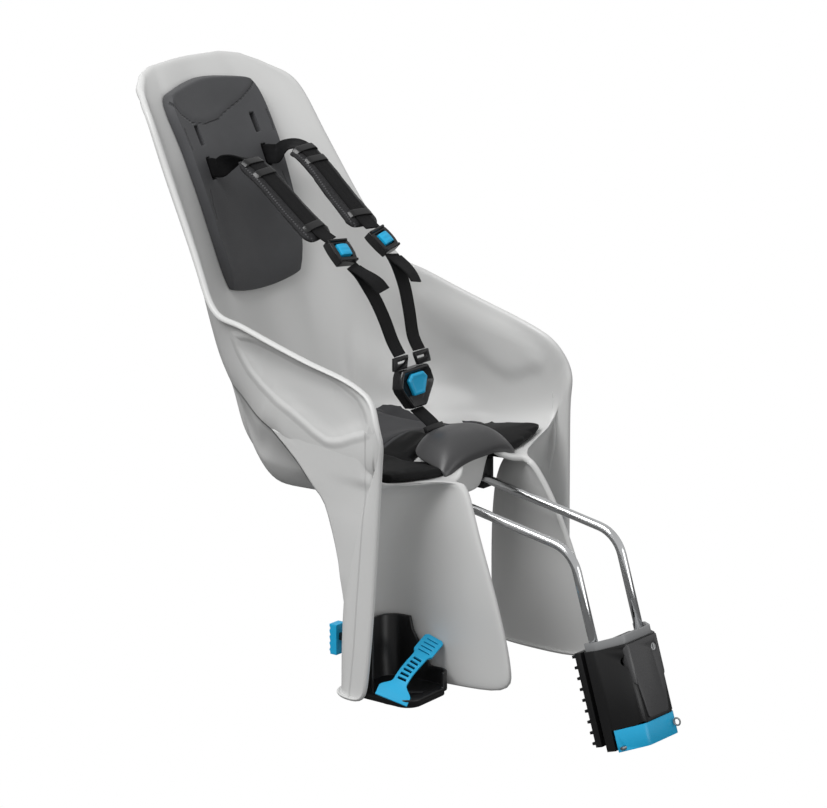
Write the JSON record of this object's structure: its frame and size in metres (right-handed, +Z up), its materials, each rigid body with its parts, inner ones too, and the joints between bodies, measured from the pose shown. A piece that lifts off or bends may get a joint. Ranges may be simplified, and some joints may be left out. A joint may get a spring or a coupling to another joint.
{
  "type": "rear child bike seat",
  "caption": "Frame-mounted rear child bicycle seat with moulded shell, leg guards, padded harness, sprung carry bar and seat tube bracket.",
  "frame": {"origin": "on the axis of the seat tube clamp bore, 48 mm above the bracket's lower end", "axes": "+Z up, the child faces -Y, +X to the child's left; the tube axis leans back 16.75 degrees towards +Y"},
  "size_m": [0.3746, 0.6819, 0.6758],
  "materials": {
    "shell": "fine satin moulding, light grey",
    "pad": "soft dark grey foam with a fine fabric face",
    "nose": "dark grey satin",
    "bar": "bright plated steel",
    "black_plastic": "black satin",
    "cover": "mid grey satin",
    "guide": "pale grey satin",
    "liner": "dull black",
    "steel": "zinc plated",
    "blue_plastic": "bright blue, half gloss",
    "webbing": "woven black polyester",
    "red_reflector": "clear red"
  },
  "bodies": {
    "bracket": {"bracket_housing": "black_plastic", "bracket_cover": "cover", "bar_guide": "guide", "clamp_jaw": "black_plastic", "housing_liner": "liner", "jaw_liner": "liner", "clamp_bolts": "steel", "lever_pin": "steel"},
    "release_lever": {"release_lever": "blue_plastic", "pull_ring": "guide"},
    "lock": {"lock_barrel": "steel"},
    "buckle_button": {"buckle_button": "blue_plastic"},
    "adjuster_button_left": {"adjuster_button_left": "blue_plastic"},
    "footrest_left": {"footrest_left": "black_plastic", "foot_strap_left": "blue_plastic"},
    "footrest_latch_left": {"footrest_latch_left": "blue_plastic"},
    "adjuster_button_right": {"adjuster_button_right": "blue_plastic"},
    "footrest_right": {"footrest_right": "black_plastic", "foot_strap_right": "blue_plastic"},
    "footrest_latch_right": {"footrest_latch_right": "blue_plastic"},
    "seat": {"seat_shell": "shell", "back_pad": "pad", "seat_pad": "pad", "nose_cover": "nose", "carry_bar": "bar", "bar_clamp_front": "black_plastic", "bar_clamp_rear": "black_plastic", "clamp_screws": "steel", "shoulder_strap_left": "webbing", "shoulder_strap_right": "webbing", "shoulder_pad_left": "pad", "shoulder_pad_right": "pad", "adjuster_left": "black_plastic", "adjuster_right": "black_plastic", "lower_strap_left": "webbing", "lower_strap_right": "webbing", "tongue_left": "black_plastic", "tongue_right": "black_plastic", "buckle_body": "black_plastic", "crotch_strap": "webbing", "crotch_slide": "black_plastic", "crotch_anchor": "black_plastic", "strap_anchor": "black_plastic", "reflector_holder": "black_plastic", "reflector": "red_reflector"}
  },
  "joints": [
    {"name": "seat_lift", "type": "slide", "parent": "bracket", "child": "seat", "axis": [0, 0.2882, 0.9576], "range_m": [0, 0.105]},
    {"name": "release_lever", "type": "hinge", "parent": "bracket", "child": "release_lever", "pos_m": [0, -0.03432, -0.03771], "axis": [1, 0, 0], "range_deg": [0, 33], "stiffness_Nm_per_rad": 0.3, "springref_deg": -11.46},
    {"name": "lock_turn", "type": "hinge", "parent": "bracket", "child": "lock", "pos_m": [0.017, -0.0283, 0.05865], "axis": [0, -0.9576, 0.2882], "range_deg": [0, 90]},
    {"name": "buckle_press", "type": "slide", "parent": "seat", "child": "buckle_button", "axis": [0, 0.9903, -0.1392], "range_m": [0, 0.003], "stiffness_N_per_m": 600, "springref_m": -0.001},
    {"name": "adjuster_press_left", "type": "slide", "parent": "seat", "child": "adjuster_button_left", "axis": [0, 0.682, -0.7314], "range_m": [0, 0.0015], "stiffness_N_per_m": 600, "springref_m": -0.001},
    {"name": "footrest_height_left", "type": "slide", "parent": "seat", "child": "footrest_left", "axis": [0.06, -0.06, 0.9964], "range_m": [0, 0.08]},
    {"name": "footrest_latch_left", "type": "slide", "parent": "footrest_left", "child": "footrest_latch_left", "axis": [0, -1, 0], "range_m": [0, 0.003], "stiffness_N_per_m": 500, "springref_m": -0.001},
    {"name": "adjuster_press_right", "type": "slide", "parent": "seat", "child": "adjuster_button_right", "axis": [0, 0.682, -0.7314], "range_m": [0, 0.0015], "stiffness_N_per_m": 600, "springref_m": -0.001},
    {"name": "footrest_height_right", "type": "slide", "parent": "seat", "child": "footrest_right", "axis": [-0.06, -0.06, 0.9964], "range_m": [0, 0.08]},
    {"name": "footrest_latch_right", "type": "slide", "parent": "footrest_right", "child": "footrest_latch_right", "axis": [0, -1, 0], "range_m": [0, 0.003], "stiffness_N_per_m": 500, "springref_m": -0.001}
  ]
}
